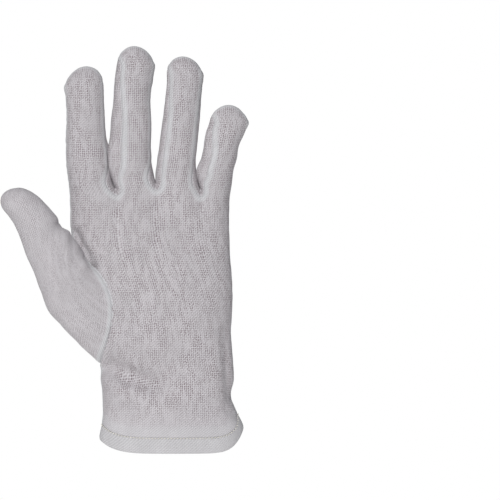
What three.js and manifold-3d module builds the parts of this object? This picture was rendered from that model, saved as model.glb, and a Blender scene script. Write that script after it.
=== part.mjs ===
// A knitted cotton dress glove for the left hand, filled out as it is when worn.
// The palm faces -Y, the fingers point up +Z and the thumb leans towards -X.
// The origin is the middle of the wrist opening. All sizes are millimetres and degrees.
import * as THREE from "three";
import Module from "manifold-3d";

const wasm = await Module();
wasm.setup();

// Cloth
const clothWall = 1;
const hemWall = 1.8;
const hemProud = 0.4;
const seamGap = 0.3;
const clothColors = {
  palm_panel: 0xb6b2b5,
  back_panel: 0xb4b0b3,
  thumb: 0xbbb7b9,
  hem: 0xc1c0c1,
  fourchette: 0xb2aeb1,
};

// Cuff, wrist and palm
const cuffBreadth = 88.7;
const cuffThickness = 37;
const wristBreadth = 79.5;
const wristThickness = 34;
const palmBreadth = 97.8;
const palmThickness = 30;
const palmHeight = 158;
const hemHeight = 9.5;
const rimRiseThumbSide = 7.3;
const rimRiseLittleSide = 13.8;
const rimTurnThumbSide = 4;
const rimTurnLittleSide = 7;

// Fingers, from the forks to the tips
const indexLength = 78.7;
const indexBreadth = 24.4;
const indexThickness = 19;
const middleLength = 89.6;
const middleBreadth = 25;
const middleThickness = 19.5;
const ringLength = 83.5;
const ringBreadth = 23;
const ringThickness = 18.5;
const littleLength = 55.4;
const littleBreadth = 22.8;
const littleThickness = 16.5;
const fingerCurl = 6;
const forkRound = 6;
const forkRise = 4;
const blendBelowFork = 44;
const blendAboveFork = 18;

// Thumb
const thumbLength = 88;
const thumbBreadth = 24;
const thumbThickness = 20.5;
const thumbLean = 34.3;
const thumbRootAcross = -48.5;
const thumbHoleLow = 54;
const thumbHoleHigh = 117;
const thumbRootRise = 2.3;
const thumbRootHeight = (thumbHoleLow + thumbHoleHigh) / 2 + thumbRootRise;

// Cross-sections up the palm. The breadth and thickness at each height are shares of the cuff's,
// the palm's and, for the rest, the wrist's. shift is the middle line, a share of palmBreadth.
const palmSections = smoothTable([
  { at: 0.063, cuff: 1, palm: 0, shift: 0.009 },
  { at: 0.1, cuff: 0.8, palm: 0, shift: 0.012 },
  { at: 0.143, cuff: 0.4, palm: 0, shift: 0 },
  { at: 0.2, cuff: 0, palm: 0, shift: -0.019 },
  { at: 0.285, cuff: 0, palm: 0.07, shift: -0.017 },
  { at: 0.38, cuff: 0, palm: 0.13, shift: -0.03 },
  { at: 0.468, cuff: 0, palm: 0.14, shift: -0.038 },
  { at: 0.57, cuff: 0, palm: 0.36, shift: -0.05 },
  { at: 0.665, cuff: 0, palm: 0.6, shift: -0.076 },
  { at: 0.74, cuff: 0, palm: 0.78, shift: -0.103 },
  { at: 0.854, cuff: 0, palm: 1, shift: -0.131 },
  { at: 1, cuff: 0, palm: 1, shift: -0.131 },
]);
const palmRoundness = 2.3;

// The forks between the fingers: across is a share of the palm's breadth from the thumb side,
// height a share of palmHeight.
const forks = [
  { piece: "fourchette_index_middle", across: 0.303, height: 0.996 },
  { piece: "fourchette_middle_ring", across: 0.549, height: 1.015 },
  { piece: "fourchette_ring_little", across: 0.832, height: 0.992 },
];

// The fingers in order from the thumb. The four seam angles run round the finger: 0 is the thumb
// side, 90 the palm side, 180 the little-finger side and 270 the back. In the sections, at is a
// share of the finger's length, shift and breadth are shares of its breadth; dome is the share of
// the length that rounds over at the tip.
const fingers = [
  {
    length: indexLength,
    breadth: indexBreadth,
    thickness: indexThickness,
    dome: 0.17,
    seams: { frontLeft: 0, frontRight: 168, backRight: 235, backLeft: 360 },
    sections: smoothTable([
      { at: 0, shift: 0, breadth: 1.2 },
      { at: 0.08, shift: -0.09, breadth: 1.08 },
      { at: 0.18, shift: -0.15, breadth: 1.06 },
      { at: 0.27, shift: -0.17, breadth: 1.07 },
      { at: 0.43, shift: -0.195, breadth: 1.02 },
      { at: 0.64, shift: -0.205, breadth: 0.95 },
      { at: 0.83, shift: -0.23, breadth: 0.95 },
      { at: 1, shift: -0.17, breadth: 0.95 },
    ]),
  },
  {
    length: middleLength,
    breadth: middleBreadth,
    thickness: middleThickness,
    dome: 0.15,
    seams: { frontLeft: 69, frontRight: 169, backRight: 235, backLeft: 340 },
    sections: smoothTable([
      { at: 0, shift: 0, breadth: 0.97 },
      { at: 0.08, shift: -0.112, breadth: 1 },
      { at: 0.14, shift: -0.155, breadth: 1.02 },
      { at: 0.3, shift: -0.178, breadth: 1.02 },
      { at: 0.47, shift: -0.166, breadth: 1 },
      { at: 0.63, shift: -0.142, breadth: 0.905 },
      { at: 0.8, shift: -0.085, breadth: 0.93 },
      { at: 0.854, shift: -0.06, breadth: 0.91 },
      { at: 1, shift: -0.08, breadth: 0.88 },
    ]),
  },
  {
    length: ringLength,
    breadth: ringBreadth,
    thickness: ringThickness,
    dome: 0.145,
    seams: { frontLeft: 48, frontRight: 157, backRight: 235, backLeft: 340 },
    sections: smoothTable([
      { at: 0, shift: 0, breadth: 1.17 },
      { at: 0.09, shift: -0.088, breadth: 1.07 },
      { at: 0.155, shift: -0.11, breadth: 1.035 },
      { at: 0.33, shift: -0.06, breadth: 1.035 },
      { at: 0.51, shift: 0.02, breadth: 0.98 },
      { at: 0.68, shift: 0.085, breadth: 0.955 },
      { at: 0.86, shift: 0.13, breadth: 0.95 },
      { at: 1, shift: 0.075, breadth: 0.92 },
    ]),
  },
  {
    length: littleLength,
    breadth: littleBreadth,
    thickness: littleThickness,
    dome: 0.2,
    seams: { frontLeft: 68, frontRight: 180, backRight: 180, backLeft: 340 },
    sections: smoothTable([
      { at: 0, shift: 0, breadth: 0.76 },
      { at: 0.18, shift: -0.02, breadth: 0.92 },
      { at: 0.27, shift: -0.02, breadth: 0.965 },
      { at: 0.44, shift: 0.088, breadth: 0.965 },
      { at: 0.54, shift: 0.13, breadth: 0.945 },
      { at: 0.71, shift: 0.263, breadth: 1.04 },
      { at: 0.8, shift: 0.33, breadth: 1.02 },
      { at: 1, shift: 0.34, breadth: 0.95 },
    ]),
  },
];
const fingerRoundness = 2.1;
const tipThinning = 0.12;
const rootThickening = 0.18;
const rootReach = 0.6;
const rootSeamAngle = 52;
const seamSettle = 0.5;
const fourchetteTaper = 0.35;

// Cross-sections along the thumb: at is a share of thumbLength, across and wide are shares of
// thumbBreadth, deep and forward of thumbThickness, and turn tips the section towards the crotch.
const thumbSections = smoothTable([
  { at: 0, across: 0, wide: 2.45, deep: 1.3, forward: 0.2, turn: 62 },
  { at: 0.09, across: -0.07, wide: 2.24, deep: 1.28, forward: 0.28, turn: 52 },
  { at: 0.19, across: -0.13, wide: 1.96, deep: 1.25, forward: 0.36, turn: 42 },
  { at: 0.28, across: -0.16, wide: 1.82, deep: 1.2, forward: 0.45, turn: 34 },
  { at: 0.39, across: -0.1, wide: 1.57, deep: 1.12, forward: 0.52, turn: 28 },
  { at: 0.5, across: -0.03, wide: 1.33, deep: 1.05, forward: 0.58, turn: 19 },
  { at: 0.575, across: 0.01, wide: 1.2, deep: 1.02, forward: 0.61, turn: 11 },
  { at: 0.68, across: 0.09, wide: 1.07, deep: 1, forward: 0.66, turn: -3 },
  { at: 0.76, across: 0.11, wide: 0.99, deep: 0.97, forward: 0.69, turn: -8 },
  { at: 0.86, across: 0.07, wide: 0.93, deep: 0.93, forward: 0.72, turn: -11 },
  { at: 1, across: 0, wide: 0.9, deep: 0.88, forward: 0.75, turn: -9 },
]);
const thumbDome = 0.14;
const thumbBlend = 0.2;
const thumbHole = { middleAngle: 11, reachAngle: 36, skewAngle: 12 };
const thumbPlugDepth = 4;

// Soft dents in the palm side. Each runs from one place to another, given as shares of
// palmBreadth and palmHeight; wide is a share of palmBreadth and deep of palmThickness.
const dents = [
  { fromX: -0.46, fromZ: 0.345, toX: -0.28, toZ: 0.29, wide: 0.045, deep: 0.07 },
  { fromX: -0.28, fromZ: 0.29, toX: -0.1, toZ: 0.258, wide: 0.05, deep: 0.06 },
  { fromX: 0.32, fromZ: 0.47, toX: 0.36, toZ: 0.24, wide: 0.025, deep: 0.06 },
  { fromX: -0.2, fromZ: 0.62, toX: 0.02, toZ: 0.85, wide: 0.16, deep: 0.05 },
];

// How finely the cloth is divided
const quadsAcross = 5;
const hemDivisions = 2;
const palmRows = 14;
const forkRows = 3;
const shaftRows = 5;
const domeRows = 4;
const thumbQuadsRound = 18;
const thumbRows = 15;
const weldStep = 1e-4;

const { lerp, degToRad, smoothstep, clamp } = THREE.MathUtils;

// A smooth curve through each named column of a table, read at a share of its length.
function smoothTable(rows) {
  const names = Object.keys(rows[0]).filter((name) => name !== "at");
  const places = rows.map((row) => row.at);
  const values = rows.flatMap((row) => names.map((name) => row[name]));
  const curve = new THREE.CubicInterpolant(places, values, names.length, []);
  return (at) => {
    const found = curve.evaluate(THREE.MathUtils.clamp(at, places[0], places.at(-1)));
    return Object.fromEntries(names.map((name, i) => [name, found[i]]));
  };
}

// A point on an ellipse-like section, squarer than an ellipse where roundness is over 2.
function sectionPoint({ x, y, z, halfBreadth, halfThickness, roundness, angle }) {
  const soften = (value) => Math.sign(value) * Math.abs(value) ** (2 / roundness);
  const turned = degToRad(angle);
  return new THREE.Vector3(
    x - halfBreadth * soften(Math.cos(turned)),
    y - halfThickness * soften(Math.sin(turned)),
    z,
  );
}

// How far the dents push the palm side in at a place on it.
function dentDepth(x, z) {
  const place = new THREE.Vector3(x, 0, z);
  return dents.reduce((sum, dent) => {
    const from = new THREE.Vector3(dent.fromX * palmBreadth, 0, dent.fromZ * palmHeight);
    const to = new THREE.Vector3(dent.toX * palmBreadth, 0, dent.toZ * palmHeight);
    const nearest = new THREE.Line3(from, to).closestPointToPoint(place, true, new THREE.Vector3());
    const away = nearest.distanceTo(place) / (dent.wide * palmBreadth);
    return sum + dent.deep * palmThickness * Math.exp(-away * away);
  }, 0);
}

// A point on the cuff, wrist or palm at a height and an angle round the hand.
function palmPoint(angle, z) {
  const { cuff, palm, shift } = palmSections(z / palmHeight);
  const wrist = 1 - cuff - palm;
  const breadth = cuff * cuffBreadth + wrist * wristBreadth + palm * palmBreadth;
  const thickness = cuff * cuffThickness + wrist * wristThickness + palm * palmThickness;
  const point = sectionPoint({
    x: shift * palmBreadth,
    y: 0,
    z,
    halfBreadth: breadth / 2,
    halfThickness: thickness / 2,
    roundness: palmRoundness,
    angle,
  });
  const facing = Math.max(0, Math.sin(degToRad(angle)));
  point.y += dentDepth(point.x, z) * facing;
  return point;
}

// Where the forks lie: their heights, and their angles round the palm, with the two sides added.
const forkHeights = forks.map((fork) => fork.height * palmHeight);
const forkAngles = forks.map((fork) => {
  const cosine = 1 - 2 * fork.across;
  const eased = Math.sign(cosine) * Math.abs(cosine) ** (palmRoundness / 2);
  return THREE.MathUtils.radToDeg(Math.acos(eased));
});
const edgeAngles = [0, ...forkAngles, 180];
const edgeHeights = [forkHeights[0], ...forkHeights, forkHeights.at(-1)];

// Each finger's root: the middle of its column of cloth at the forks.
const fingerRoots = fingers.map((finger, i) => {
  const z = (edgeHeights[i] + edgeHeights[i + 1]) / 2;
  const shares = [0, ...forks.map((fork) => fork.across), 1];
  const middle = (shares[i] + shares[i + 1]) / 2 - 0.5;
  const x = (palmSections(z / palmHeight).shift + middle) * palmBreadth;
  return { x, z, domeHeight: z + finger.length * (1 - finger.dome) };
});

// A point on a finger at a height and an angle round it.
function fingerPoint(i, angle, z) {
  const finger = fingers[i];
  const root = fingerRoots[i];
  const at = clamp((z - root.z) / finger.length, 0, 1);
  const { shift, breadth } = finger.sections(at);
  const intoDome = clamp((z - root.domeHeight) / (finger.length * finger.dome), 0, 1);
  const closing = Math.sqrt(1 - intoDome * intoDome);
  const fullness = 1 + rootThickening * (1 - smoothstep(at, 0, rootReach)) - tipThinning * at * at;
  return sectionPoint({
    x: root.x + shift * finger.breadth,
    y: -fingerCurl * at * at,
    z,
    halfBreadth: (breadth * finger.breadth * closing) / 2,
    halfThickness: (fullness * finger.thickness * closing) / 2,
    roundness: fingerRoundness,
    angle,
  });
}

// How far the cloth has left the palm's section for the finger's, from 0 to 1.
function fingerShare(z, forkHeight) {
  return smoothstep(z, forkHeight - blendBelowFork, forkHeight + blendAboveFork);
}

// The levels that every column of cloth passes, from the cuff to the fingertip.
const palmLevels = Array.from({ length: palmRows + 1 }, (_, k) => ({ palm: k / palmRows }));
const forkLevels = Array.from({ length: forkRows }, (_, k) => ({ turn: (90 * (k + 1)) / forkRows }));
const shaftLevels = Array.from({ length: shaftRows }, (_, k) => ({ shaft: (k + 1) / shaftRows }));
const domeLevels = Array.from({ length: domeRows }, (_, k) => ({ dome: (90 * (k + 1)) / domeRows }));

// The height of a level beside one fork, on one finger.
function levelHeight(level, forkHeight, finger) {
  const { domeHeight } = fingerRoots[finger];
  const shaftFoot = forkHeight + forkRound;
  if (level.turn !== undefined) return forkHeight + forkRound * (1 - Math.cos(degToRad(level.turn)));
  if (level.shaft !== undefined) return lerp(shaftFoot, domeHeight, level.shaft);
  const dome = fingers[finger].length * fingers[finger].dome;
  return domeHeight + dome * Math.sin(degToRad(level.dome));
}

// How far the fork has opened at a level: 0 at its bottom, 1 where the fingers stand free.
function forkOpening(level) {
  if (level.palm !== undefined) return 0;
  return level.turn === undefined ? 1 : Math.sin(degToRad(level.turn));
}

// The angle of one of a finger's seams at a level, given the side it runs along: 0, 180 or 360.
// From the same angle at every fork it turns to the finger's own, and runs out to the side at the tip.
function seamAngle(finger, seam, side, level) {
  const own = fingers[finger].seams[seam];
  if (level.dome !== undefined || own === side) return side;
  const rooted = side + Math.sign(own - side) * rootSeamAngle;
  const leaving = level.shaft === undefined ? 0 : smoothstep(level.shaft, 0, seamSettle);
  const closing = level.shaft === undefined ? 0 : fourchetteTaper * smoothstep(level.shaft, seamSettle, 1);
  return lerp(lerp(rooted, own, leaving), side, closing);
}

// The side of a finger that faces a fork: t runs from the palm-side seam, 0, to the back seam, 1.
function sidePoint(finger, fork, t, level, z) {
  const [front, back] =
    fork === finger
      ? [seamAngle(finger, "frontRight", 180, level), seamAngle(finger, "backRight", 180, level)]
      : [seamAngle(finger, "frontLeft", 0, level), seamAngle(finger, "backLeft", 360, level) - 360];
  const angle = forkAngles[fork];
  const inside = palmPoint(angle, z).lerp(palmPoint(-angle, z), t);
  const outside = fingerPoint(finger, lerp(front, back, t), z);
  return inside.lerp(outside, fingerShare(z, forkHeights[fork]));
}

// A point on the fork: leg is -1 on the finger nearer the thumb and 1 on the other.
function forkPoint(fork, leg, t, level, z) {
  const near = sidePoint(fork, fork, t, level, z);
  const far = sidePoint(fork + 1, fork, t, level, z);
  const opening = leg * forkOpening(level);
  return near.lerp(far, (1 + opening) / 2);
}

// The rim of the cuff dips at the middle of the palm and back and rises at the two sides.
function rimHeight(angle) {
  const aside = Math.cos(degToRad(angle));
  const rise = aside > 0 ? rimRiseThumbSide : rimRiseLittleSide;
  const turn = aside > 0 ? rimTurnThumbSide : rimTurnLittleSide;
  return rise * Math.abs(aside) ** turn;
}

// One column of cloth from the hem to a fingertip, as rows of points from edge to edge.
function columnRows(finger, onPalmSide) {
  const edges = onPalmSide ? [finger, finger + 1] : [finger + 1, finger];
  const palmAngles = edges.map((edge) => (onPalmSide ? edgeAngles[edge] : 360 - edgeAngles[edge]));
  const seams = onPalmSide ? ["frontLeft", "frontRight"] : ["backRight", "backLeft"];
  const sides = onPalmSide ? [0, 180] : [180, 360];
  const heights = edges.map((edge) => edgeHeights[edge]);
  const t = onPalmSide ? 0 : 1;

  const pointAt = (level, across) => {
    const palmAngle = lerp(...palmAngles, across);
    const forkHeight = lerp(...heights, across);
    const z =
      level.palm === undefined
        ? levelHeight(level, forkHeight, finger)
        : lerp(rimHeight(palmAngle) + hemHeight, forkHeight, level.palm);
    const [start, end] = seams.map((seam, i) => seamAngle(finger, seam, sides[i], level));
    const fingerAngle = lerp(start, end, across);
    const point = palmPoint(palmAngle, z);
    return point.lerp(fingerPoint(finger, fingerAngle, z), fingerShare(z, forkHeight));
  };

  // At an edge that borders a fork, the cloth is drawn to the fork's own curve.
  const drawAt = (level, end) => {
    const free = pointAt(level, end);
    const fork = edges[end] - 1;
    const aboveFork = level.shaft !== undefined || level.dome !== undefined;
    if (aboveFork || fork < 0 || fork >= forks.length) return new THREE.Vector3();
    const leg = fork === finger ? -1 : 1;
    return forkPoint(fork, leg, t, level, free.z).sub(free);
  };

  return [...palmLevels, ...forkLevels, ...shaftLevels, ...domeLevels].map((level) => {
    const draws = [drawAt(level, 0), drawAt(level, 1)];
    return Array.from({ length: quadsAcross + 1 }, (_, c) => {
      const across = c / quadsAcross;
      return pointAt(level, across)
        .addScaledVector(draws[0], 1 - across)
        .addScaledVector(draws[1], across);
    });
  });
}

// The hem band below a column, between the rim and the seam of the palm or back.
function hemRows(finger, onPalmSide) {
  const edges = onPalmSide ? [finger, finger + 1] : [finger + 1, finger];
  const angles = edges.map((edge) => (onPalmSide ? edgeAngles[edge] : 360 - edgeAngles[edge]));
  return Array.from({ length: hemDivisions + 1 }, (_, k) =>
    Array.from({ length: quadsAcross + 1 }, (_, c) => {
      const angle = lerp(...angles, c / quadsAcross);
      return palmPoint(angle, rimHeight(angle) + (hemHeight * k) / hemDivisions);
    }),
  );
}

// A fourchette: down one finger, round the bottom of the fork and up the next finger.
function fourchetteRows(fork) {
  const row = (leg, level, finger) =>
    Array.from({ length: quadsAcross }, (_, c) => {
      const t = c / (quadsAcross - 1);
      const turned = level.turn === undefined ? 90 : level.turn;
      const lifted = forkRise * Math.sin(Math.PI * t) * Math.cos(degToRad(turned));
      const z = levelHeight(level, forkHeights[fork], finger) + lifted;
      return level.shaft === undefined && level.dome === undefined
        ? forkPoint(fork, leg, t, level, z)
        : sidePoint(finger, fork, t, level, z);
    });
  const legLevels = [...forkLevels, ...shaftLevels, domeLevels[0]];
  const farLeg = legLevels.map((level) => row(1, level, fork + 1)).reverse();
  const nearLeg = legLevels.map((level) => row(-1, level, fork));
  return [...farLeg, row(0, { turn: 0 }, fork), ...nearLeg];
}

// Patches of cloth joined where their points meet: corner points, and triangles that face out.
function weld(patches) {
  const points = [];
  const triangles = [];
  const known = new Map();
  const indexOf = (point) => {
    const key = point.toArray().map((value) => Math.round(value / weldStep)).join();
    if (!known.has(key)) known.set(key, points.push(point) - 1);
    return known.get(key);
  };
  for (const { piece, rows } of patches) {
    const grid = rows.map((row) => row.map(indexOf));
    for (let r = 0; r + 1 < grid.length; r++) {
      for (let c = 0; c + 1 < grid[r].length; c++) {
        const [a, b] = [grid[r][c], grid[r][c + 1]];
        const [d, e] = [grid[r + 1][c], grid[r + 1][c + 1]];
        triangles.push({ piece, corners: [a, b, e] }, { piece, corners: [a, e, d] });
      }
    }
  }
  const real = triangles.filter(({ corners }) => new Set(corners).size === 3);
  return { points, triangles: real };
}

function triangleNormal(points, [a, b, c]) {
  const side = points[b].clone().sub(points[a]);
  return side.cross(points[c].clone().sub(points[a]));
}

// The outward direction at each corner, the mean of the triangles round it.
function cornerNormals({ points, triangles }) {
  const normals = points.map(() => new THREE.Vector3());
  for (const { corners } of triangles) {
    const normal = triangleNormal(points, corners);
    corners.forEach((corner) => normals[corner].add(normal));
  }
  return normals.map((normal) => normal.normalize());
}

// A closed solid from one piece of the skin: its outer face, its inner face one wall below, and
// its edges, each drawn back from the seam by half the gap.
function sewnPiece(skin, normals, piece, wall, proud = 0) {
  const own = skin.triangles.filter((triangle) => triangle.piece === piece);
  const directed = new Set(own.flatMap(({ corners: [a, b, c] }) => [`${a},${b}`, `${b},${c}`, `${c},${a}`]));
  const rim = [];
  const inward = new Map();
  for (const { corners } of own) {
    const normal = triangleNormal(skin.points, corners).normalize();
    corners.forEach((a, i) => {
      const b = corners[(i + 1) % 3];
      if (directed.has(`${b},${a}`)) return;
      rim.push([a, b]);
      const along = skin.points[b].clone().sub(skin.points[a]).normalize();
      const into = normal.clone().cross(along);
      for (const corner of [a, b]) {
        inward.set(corner, (inward.get(corner) ?? new THREE.Vector3()).add(into));
      }
    });
  }
  const used = [...new Set(own.flatMap(({ corners }) => corners))];
  const place = new Map(used.map((corner, i) => [corner, i]));
  const positions = [proud, proud - wall].flatMap((offset) =>
    used.flatMap((corner) => {
      const point = skin.points[corner].clone().addScaledVector(normals[corner], offset);
      const into = inward.get(corner);
      if (into) point.addScaledVector(into, seamGap / Math.max(into.lengthSq(), into.length()));
      return point.toArray();
    }),
  );
  const outer = (corner) => place.get(corner);
  const inner = (corner) => place.get(corner) + used.length;
  const faces = own.flatMap(({ corners: [a, b, c] }) => [
    [outer(a), outer(b), outer(c)],
    [inner(c), inner(b), inner(a)],
  ]);
  const edges = rim.flatMap(([a, b]) => [
    [outer(b), outer(a), inner(a)],
    [outer(b), inner(a), inner(b)],
  ]);
  return solid(positions, [...faces, ...edges].flat());
}

function solid(positions, corners) {
  const mesh = new wasm.Mesh({
    numProp: 3,
    vertProperties: new Float32Array(positions),
    triVerts: new Uint32Array(corners),
  });
  return new wasm.Manifold(mesh);
}

// The thumb hole on the palm's surface, a slanting oval round the side of the hand.
// angle 0 is the crotch, 90 the palm side, 180 the wrist end and 270 the back.
function thumbHolePoint(angle) {
  const turned = degToRad(angle);
  const { middleAngle, reachAngle, skewAngle } = thumbHole;
  const round = middleAngle + reachAngle * Math.sin(turned) + skewAngle * Math.cos(turned);
  return palmPoint(round, lerp(thumbHoleLow, thumbHoleHigh, (1 + Math.cos(turned)) / 2));
}

// A point on the thumb, at a share of its length and an angle as for the thumb hole.
function thumbPoint(at, angle) {
  const { across, wide, deep, forward, turn } = thumbSections(at);
  const lean = degToRad(thumbLean);
  const along = new THREE.Vector3(-Math.sin(lean), 0, Math.cos(lean));
  const aside = new THREE.Vector3(Math.cos(lean), 0, Math.sin(lean));
  const tipped = degToRad(turn);
  const chord = aside.clone().multiplyScalar(Math.cos(tipped)).addScaledVector(along, Math.sin(tipped));
  const intoDome = clamp((at - (1 - thumbDome)) / thumbDome, 0, 1);
  const closing = Math.sqrt(1 - intoDome * intoDome);
  const turned = degToRad(angle);
  const section = new THREE.Vector3(thumbRootAcross, -forward * thumbThickness, thumbRootHeight)
    .addScaledVector(along, at * thumbLength)
    .addScaledVector(aside, across * thumbBreadth)
    .addScaledVector(chord, (wide * thumbBreadth * closing * Math.cos(turned)) / 2);
  section.y -= (deep * thumbThickness * closing * Math.sin(turned)) / 2;
  return thumbHolePoint(angle).lerp(section, smoothstep(at, 0, thumbBlend));
}

function thumbRing(pointAt) {
  return Array.from({ length: thumbQuadsRound + 1 }, (_, c) => pointAt((-360 * c) / thumbQuadsRound));
}

function thumbShares() {
  const shaft = Array.from({ length: thumbRows - domeRows + 1 }, (_, k) => k / (thumbRows - domeRows));
  const dome = domeLevels.map((level) => 1 - thumbDome + thumbDome * Math.sin(degToRad(level.dome)));
  return [...shaft.map((share) => share * (1 - thumbDome)), ...dome];
}

function thumbSurface() {
  const rows = thumbShares().map((at) => thumbRing((angle) => thumbPoint(at, angle)));
  return weld([{ piece: "thumb", rows }]);
}

// What the thumb's hole takes from the palm and back: the thumb's own form with the gap round it,
// carried on through the cloth and closed inside the hand.
function thumbPlug() {
  const core = new THREE.Vector3(0, 0, (thumbHoleLow + thumbHoleHigh) / 2);
  const sunk = thumbRing((angle) => {
    const edge = thumbHolePoint(angle);
    return edge.clone().add(core.clone().sub(edge).setLength(thumbPlugDepth));
  });
  const shut = thumbRing(() => sunk[0].clone().lerp(sunk[thumbQuadsRound / 2], 0.5));
  const rows = thumbShares().map((at) => thumbRing((angle) => thumbPoint(at, angle)));
  const plug = weld([{ piece: "plug", rows: [shut, sunk, ...rows] }]);
  const normals = cornerNormals(plug);
  const positions = plug.points.flatMap((point, i) => {
    return point.clone().addScaledVector(normals[i], seamGap).toArray();
  });
  return solid(positions, plug.triangles.flatMap(({ corners }) => corners));
}

// The glove's skin, with every seam shared by the pieces that meet there.
function gloveSkin() {
  const patches = [];
  fingers.forEach((_, finger) => {
    patches.push({ piece: "palm_panel", rows: columnRows(finger, true) });
    patches.push({ piece: "back_panel", rows: columnRows(finger, false) });
    patches.push({ piece: "hem", rows: hemRows(finger, true) });
    patches.push({ piece: "hem", rows: hemRows(finger, false) });
  });
  forks.forEach(({ piece }, fork) => patches.push({ piece, rows: fourchetteRows(fork) }));
  return weld(patches);
}

function clothMesh(name, form, color) {
  const { vertProperties, triVerts } = form.getMesh();
  const geometry = new THREE.BufferGeometry();
  geometry.setAttribute("position", new THREE.BufferAttribute(vertProperties, 3));
  geometry.setIndex(new THREE.BufferAttribute(triVerts, 1));
  geometry.computeVertexNormals();
  const material = new THREE.MeshStandardMaterial({ color, roughness: 0.95, metalness: 0 });
  const mesh = new THREE.Mesh(geometry, material);
  mesh.name = name;
  return mesh;
}

const skin = gloveSkin();
const skinNormals = cornerNormals(skin);
const plug = thumbPlug();
const thumbSkin = thumbSurface();

const glove = new THREE.Group();
const palmPanel = sewnPiece(skin, skinNormals, "palm_panel", clothWall).subtract(plug);
const backPanel = sewnPiece(skin, skinNormals, "back_panel", clothWall).subtract(plug);
const thumb = sewnPiece(thumbSkin, cornerNormals(thumbSkin), "thumb", clothWall);
const hem = sewnPiece(skin, skinNormals, "hem", hemWall, hemProud);
glove.add(clothMesh("palm_panel", palmPanel, clothColors.palm_panel));
glove.add(clothMesh("back_panel", backPanel, clothColors.back_panel));
glove.add(clothMesh("thumb", thumb, clothColors.thumb));
glove.add(clothMesh("hem", hem, clothColors.hem));
for (const { piece } of forks) {
  const form = sewnPiece(skin, skinNormals, piece, clothWall);
  glove.add(clothMesh(piece, form, clothColors.fourchette));
}

export default glove;
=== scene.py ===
import math

import bpy
import numpy as np
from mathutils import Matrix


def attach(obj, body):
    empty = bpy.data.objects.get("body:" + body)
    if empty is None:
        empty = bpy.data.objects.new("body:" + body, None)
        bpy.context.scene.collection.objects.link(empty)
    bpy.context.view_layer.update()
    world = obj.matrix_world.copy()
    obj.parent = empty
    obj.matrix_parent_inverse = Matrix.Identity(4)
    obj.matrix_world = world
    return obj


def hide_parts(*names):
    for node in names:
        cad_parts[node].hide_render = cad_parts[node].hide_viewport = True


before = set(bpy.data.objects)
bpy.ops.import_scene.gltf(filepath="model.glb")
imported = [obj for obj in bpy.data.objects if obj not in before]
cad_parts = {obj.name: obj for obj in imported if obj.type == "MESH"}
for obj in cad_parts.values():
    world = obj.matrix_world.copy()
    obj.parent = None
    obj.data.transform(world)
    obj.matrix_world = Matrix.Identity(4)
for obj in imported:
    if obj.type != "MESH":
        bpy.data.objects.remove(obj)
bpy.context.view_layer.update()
mm = 0.001

# A knitted cotton dress glove, palm towards -Y. Sizes are millimetres and degrees until a mesh is made.
hand = {
    "cuffBreadth": 88.7, "cuffThickness": 37.0,
    "wristBreadth": 79.5, "wristThickness": 34.0,
    "palmBreadth": 97.8, "palmThickness": 30.0, "palmHeight": 158.0,
    "hemHeight": 9.5, "rimRise": (7.3, 13.8), "rimTurn": (4.0, 7.0),
    "roundness": 2.3, "wall": 0.9,
    # height, share of the cuff, share of the palm, middle line
    "sections": np.array([
        (0.063, 1, 0, 0.009), (0.1, 0.8, 0, 0.012), (0.143, 0.4, 0, 0), (0.2, 0, 0, -0.019),
        (0.285, 0, 0.07, -0.017), (0.38, 0, 0.13, -0.03), (0.468, 0, 0.14, -0.038),
        (0.57, 0, 0.36, -0.05), (0.665, 0, 0.6, -0.076), (0.74, 0, 0.78, -0.103),
        (0.854, 0, 1, -0.131), (1, 0, 1, -0.131),
    ]),
    # fromX, fromZ, toX, toZ, width and depth of each soft dent, as shares
    "dents": [
        (-0.46, 0.345, -0.28, 0.29, 0.045, 0.07), (-0.28, 0.29, -0.1, 0.258, 0.05, 0.06),
        (0.32, 0.47, 0.36, 0.24, 0.025, 0.06), (-0.2, 0.62, 0.02, 0.85, 0.16, 0.05),
    ],
}
forks = [
    {"name": "index_middle", "across": 0.303, "height": 0.996, "touch": 183.0},
    {"name": "middle_ring", "across": 0.549, "height": 1.015, "touch": 165.0},
    {"name": "ring_little", "across": 0.832, "height": 0.992, "touch": 167.5},
]
fingerShape = {"roundness": 2.1, "curl": 6.0, "tipThinning": 0.12, "rootThickening": 0.18, "rootReach": 0.6,
               "rootSeamAngle": 44.0, "seamLeave": 0.2, "seamSettle": 0.5, "taper": 0.35,
               "forkRound": 6.0, "forkRise": 4.0, "forkReach": 6, "blendBelow": 44.0, "blendAbove": 18.0,
               "pointTurn": 22.5, "overlap": 0.15, "swellPower": 0.8, "parting": (-3, 14)}
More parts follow.
